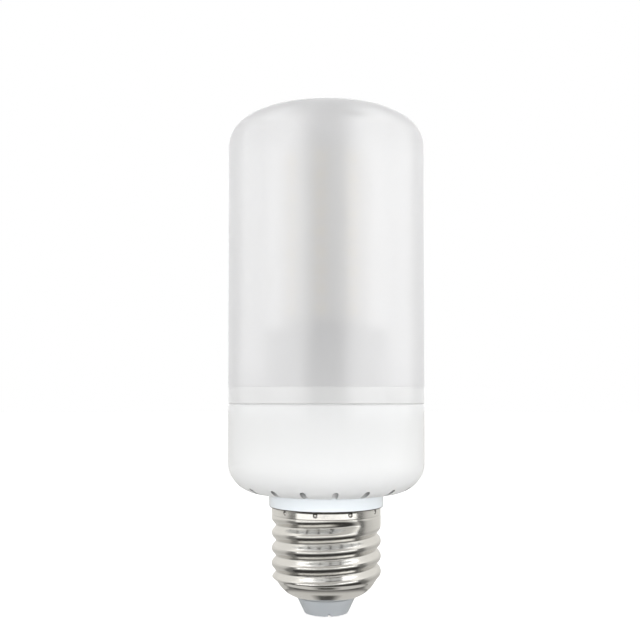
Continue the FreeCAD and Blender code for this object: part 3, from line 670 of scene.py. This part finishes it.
def sleeveFinish():
    finish = Finish("capacitorSleeve", {"IOR": sleeve["bend"]})
    leads = finish.z.edge(*sleeve["bottom"])
    can = finish.z.edge(*sleeve["top"])
    stripe = abs(alongBoard(finish) - sleeve["stripeMiddle"]).edge(*sleeve["stripeEdge"])
    stripe = stripe * (1 - leads) * (1 - can)
    shrink = finish.noise(*sleeve["shrink"])
    tint = finish.mix(stripe, sleeve["colour"], sleeve["stripe"])
    tint = finish.mix(can, finish.mix(leads, tint, sleeve["leads"]), sleeve["can"])
    finish.set(Base_Color=tint, Metallic=can + leads,
               Roughness=sleeve["roughness"] + shrink * sleeve["shrinkRoughness"],
               Normal=finish.bump(shrink, *sleeve["bump"]))
    return finish


sleeveFinish().on("smoothing_capacitor")


winding = {
    "shades": ((0.30, 0.10, 0.04), (0.76, 0.36, 0.18)), "wire": 0.32, "wireShare": 0.7, "cloudShare": 0.3,
    "cloud": (1.0, 3), "roughness": 0.3, "cloudRoughness": 0.1, "bump": (0.10, 0.9),
}


def windingFinish():
    finish = Finish("copperWinding", {"Metallic": 1.0})
    # the colour darkens between the turns and lightens on their crowns: painted shade and painted highlight
    turns = (throughBoard(finish) * (2 * math.pi / winding["wire"])).wave()
    cloud = finish.noise(*winding["cloud"])
    shade = turns * winding["wireShare"] + cloud * winding["cloudShare"]
    finish.set(Base_Color=finish.mix(shade, *winding["shades"]),
               Roughness=winding["roughness"] + cloud * winding["cloudRoughness"],
               Normal=finish.bump(turns, *winding["bump"]))
    return finish


windingFinish().on("choke_winding")


package = {
    "bodies": {"bridge_rectifier": (42.5, 7.0, 4.7, 3.9),  # height, place along the board, length and width
               "driver_chip": (43.0, -9.5, 4.9, 3.9),
               "flame_controller": (36.4, -1.5, 9.9, 3.9)},
    "blend": 0.02, "shades": ((0.022, 0.022, 0.024), (0.045, 0.045, 0.048)), "leads": (0.74, 0.74, 0.73),
    "grain": (10.0, 4), "bump": (0.01, 0.5),
    "bend": 1.5, "roughness": 0.28, "bodyRoughness": 0.3, "grainRoughness": 0.08,
}


def insidePackage(finish, height, place, length, width):  # 1 in a package's body, 0 on its leads
    blend = package["blend"]
    pastEnd = abs(alongBoard(finish) - place) - length / 2 - blend
    pastSide = abs(finish.z - height) - width / 2 - blend
    return pastEnd.larger(pastSide).edge(blend, 0)


def packageFinish():
    finish = Finish("chipPackage", {"IOR": package["bend"]})
    body, *others = [insidePackage(finish, *place) for place in package["bodies"].values()]
    for other in others:
        body = body.larger(other)
    grain = finish.noise(*package["grain"])
    rough = package["roughness"] + body * package["bodyRoughness"] + grain * package["grainRoughness"]
    finish.set(Base_Color=finish.mix(body, package["leads"], finish.mix(grain, *package["shades"])),
               Metallic=1 - body, Roughness=rough, Normal=finish.bump(grain, *package["bump"]))
    return finish


packageFinish().on(*package["bodies"])


resistor = {
    "lacquer": (0.16, 0.30, 0.22), "leads": (0.72, 0.72, 0.71),
    "bottom": heightsOf("fusible_resistor")[0], "length": 8.0, "top": (23.45, 23.5),
    "bands": ((0.31, 0.42, (0.25, 0.10, 0.04)),  # start and end along the body, and colour
              (0.52, 0.62, (0.02, 0.02, 0.02)),
              (0.72, 0.82, (0.70, 0.50, 0.15))),
    "grain": (4.0, 3), "bend": 1.5, "roughness": 0.3, "grainRoughness": 0.1, "bump": (0.02, 0.4),
}


def resistorFinish():
    finish = Finish("resistorLacquer", {"IOR": resistor["bend"]})
    stops = [(0, resistor["lacquer"])]
    for start, end, tint in resistor["bands"]:
        stops += [(start, tint), (end, resistor["lacquer"])]
    share = (finish.z - resistor["bottom"]) / resistor["length"]
    bands = finish.node("ShaderNodeValToRGB", {"steps": "CONSTANT", "stops": stops}, {0: share})
    leads = finish.z.edge(*resistor["top"])
    grain = finish.noise(*resistor["grain"])
    finish.set(Base_Color=finish.mix(leads, bands, resistor["leads"]), Metallic=leads,
               Roughness=resistor["roughness"] + grain * resistor["grainRoughness"],
               Normal=finish.bump(grain, *resistor["bump"]))
    return finish


resistorFinish().on("fusible_resistor")
print("stage 4: finishes")


studio = {
    "distance": 0.36, "panelHeight": 0.42, "panelMiddle": 0.225, "halfAngle": 22,
    "panels": {"leftFront": (-45, 2.24), "leftSide": (-89, 1.36),  # degrees from the front, level
               "rightFront": (45, 2.50), "rightSide": (89, 1.50), "back": (180, 1.3)},
    "uppers": {"leftUpper": (-75, 1.9), "rightUpper": (75, 2.1)},
    "upperHeight": 0.56, "upperSize": (0.30, 0.30), "upperAim": (0, 0, 0.1),
    "top": {"level": 0.08, "size": (0.3, 0.3), "at": (0, 0.02, 0.60), "aim": (0, 0, 0)},
    "bounce": {"level": 0.74, "size": (0.26, 0.05), "at": (0, -0.12, 0.026), "aim": (0, 0, 0.010),
               "spread": 50},
}


def makePanel(name, place, size, level, aim):
    data = bpy.data.lights.new(name, "AREA")
    data.shape = "RECTANGLE"
    data.size, data.size_y = size
    data.energy = level * math.pi * size[0] * size[1]
    lamp = bpy.data.objects.new(name, data)
    bpy.context.scene.collection.objects.link(lamp)
    lamp.location = place
    lamp.rotation_euler = (Vector(aim) - Vector(place)).to_track_quat("-Z", "Y").to_euler()
    lamp.visible_camera = False
    return lamp


def fromFront(degrees, distance, height):  # a place at an angle from the front, seen from above
    turn = math.radians(degrees)
    return math.sin(turn) * distance, -math.cos(turn) * distance, height


def lightStudio():
    distance, middle = studio["distance"], studio["panelMiddle"]
    panelWidth = 2 * distance * math.tan(math.radians(studio["halfAngle"]))
    for name, (angle, level) in studio["panels"].items():
        place = fromFront(angle, distance, middle)
        makePanel(name, place, (panelWidth, studio["panelHeight"]), level, (0, 0, middle))
    for name, (angle, level) in studio["uppers"].items():
        place = fromFront(angle, distance, studio["upperHeight"])
        makePanel(name, place, studio["upperSize"], level, studio["upperAim"])
    top, bounce = studio["top"], studio["bounce"]
    makePanel("top", top["at"], top["size"], top["level"], top["aim"])
    bounceLamp = makePanel("bounce", bounce["at"], bounce["size"], bounce["level"], bounce["aim"])
    bounceLamp.data.spread = math.radians(bounce["spread"])
    bounceLamp.visible_glossy = False


room = {"fill": 0.05, "floorColour": (0.80, 0.80, 0.80), "floorRoughness": 0.9, "floorLift": (0.60, 1.0),
        "liftReach": (0.20, 0.70), "floorRadius": 3.0, "floorPoints": 96}


def seenWhite(graph):  # 1 for rays that show the background: seen straight, mirrored or through plastic
    kinds = ("Is Camera Ray", "Is Glossy Ray", "Is Transmission Ray")
    straight, mirrored, through = [graph.node("ShaderNodeLightPath", {}, {}, kind) for kind in kinds]
    return straight.larger(mirrored).larger(through)


def makeWorld():
    world = bpy.data.worlds.new("softRoom")
    world.use_nodes = True
    graph = Graph(world.node_tree)
    strength = room["fill"] + seenWhite(graph) * (1 - room["fill"])
    background = graph.node("ShaderNodeBackground", {}, {"Color": (1, 1, 1), "Strength": strength})
    graph.node("ShaderNodeOutputWorld", {}, {0: background})
    bpy.context.scene.world = world


def makeFloor():
    count = room["floorPoints"]
    points = [fromFront(360 * corner / count, room["floorRadius"], 0) for corner in range(count)]
    finish = Finish("paleFloor", {"Base_Color": room["floorColour"], "Roughness": room["floorRoughness"],
                                  "Emission_Strength": 1.0})
    near, far = room["floorLift"]
    reach = [perMetre * distance for distance in room["liftReach"]]
    lift = near + finish.radius().edge(*reach) * (far - near)
    finish.set(Emission_Color=finish.mix(seenWhite(finish) * lift, (0, 0, 0), (1, 1, 1)))
    makeStage("floor", points, [list(range(count))], finish)


def makeStage(name, points, faces, finish):
    mesh = bpy.data.meshes.new(name)
    mesh.from_pydata(points, [], faces)
    mesh.materials.append(finish.material)
    piece = bpy.data.objects.new(name, mesh)
    bpy.context.scene.collection.objects.link(piece)
    return piece


# cards that only reflections see, as a photographer stands them round bright metal: each spans between
# two edges of radius and height, and is shaded by degrees from the front or by radius in millimetres
cardStock = {"tint": (1.0, 0.98, 0.94), "points": 49, "strength": 1.2, "fullRadius": 200}
cards = {
    "frontFlag": {"angles": (-21, 21), "from": (0.50, 0.012), "to": (0.50, 0.32), "turn": [(0, 0.06)]},
    "topFlag": {"angles": (-10, 44), "from": (0.42, 0.33), "to": (0.02, 0.50), "turn": [(0, 0.04)]},
    "capFront": {"angles": (-62, 62), "from": (0.12, 0.018), "to": (0.12, 0.048), "turn": [(0, 0.55)]},
    "capHood": {"angles": (0, 360), "from": (0.052, 0.022), "to": (0.036, 0.048),
                "turn": [(0, 0.50), (42, 0.53), (54, 1.00), (70, 0.95), (84, 0.80),
                         (180, 0.84), (276, 0.82), (290, 1.00), (304, 1.00), (316, 0.52)]},
    # the three floor cards below, at the tip, at the sides and round the bulb, are darkened near the bulb:
    # painted shadow on the floor, seen only in reflections
    "tipFloorShadow": {"angles": (-34, 34), "from": (0.0045, 0.0010), "to": (0.0105, 0.0010),
                 "turn": [(0, 0.07), (12, 0.09), (33, 0.62), (327, 0.62), (348, 0.09)]},
    "capWall": {"angles": (62, 298), "from": (0.12, 0.001), "to": (0.12, 0.046),
                "turn": [(62, 0.10), (74, 0.12), (86, 0.50), (110, 0.70),
                         (180, 0.78), (250, 0.74), (274, 0.58), (286, 0.16)]},
    "sideFloorShade": {"angles": (62, 298), "from": (0.014, 0.0010), "to": (0.12, 0.0010),
                  "turn": [(62, 0.15), (76, 0.18), (88, 0.50), (180, 0.68), (272, 0.54), (284, 0.18)]},
    "nearFloorShadow": {"angles": (0, 360), "from": (0.001, 0.0005), "to": (0.20, 0.0005),
                  "reach": [(0, 0.62), (12, 0.62), (15, 0.05), (38, 0.04),
                            (60, 0.35), (90, 0.56), (112, 0.62), (130, 1.25)]},
}


def makeCard(name, card):
    count, strength = cardStock["points"], cardStock["strength"]
    turns = np.linspace(*card["angles"], count)
    points = [fromFront(turn, *edge) for edge in (card["from"], card["to"]) for turn in turns]
    faces = [(i, i + 1, i + 1 + count, i + count) for i in range(count - 1)]
    finish = Finish(name, {"Base_Color": (0, 0, 0), "Specular_IOR_Level": 0, "Emission_Strength": strength})
    if "turn" in card:
        along, full, stops = angleOf(-finish.y, finish.x).maths("WRAP", 360, 0), 360, card["turn"]
    else:
        along, full, stops = finish.radius(), cardStock["fullRadius"], card["reach"]
    shades = [(at / full, [v * level / strength for v in cardStock["tint"]]) for at, level in stops]
    finish.set(Emission_Color=finish.node("ShaderNodeValToRGB", {"stops": shades}, {0: along / full}))
    piece = makeStage(name, points, faces, finish)
    for kind in ("camera", "diffuse", "transmission", "shadow", "volume_scatter"):
        setattr(piece, "visible_" + kind, False)


lightStudio()
makeWorld()
makeFloor()
for name, card in cards.items():
    makeCard(name, card)
print("stage 5: light, floor and cards")
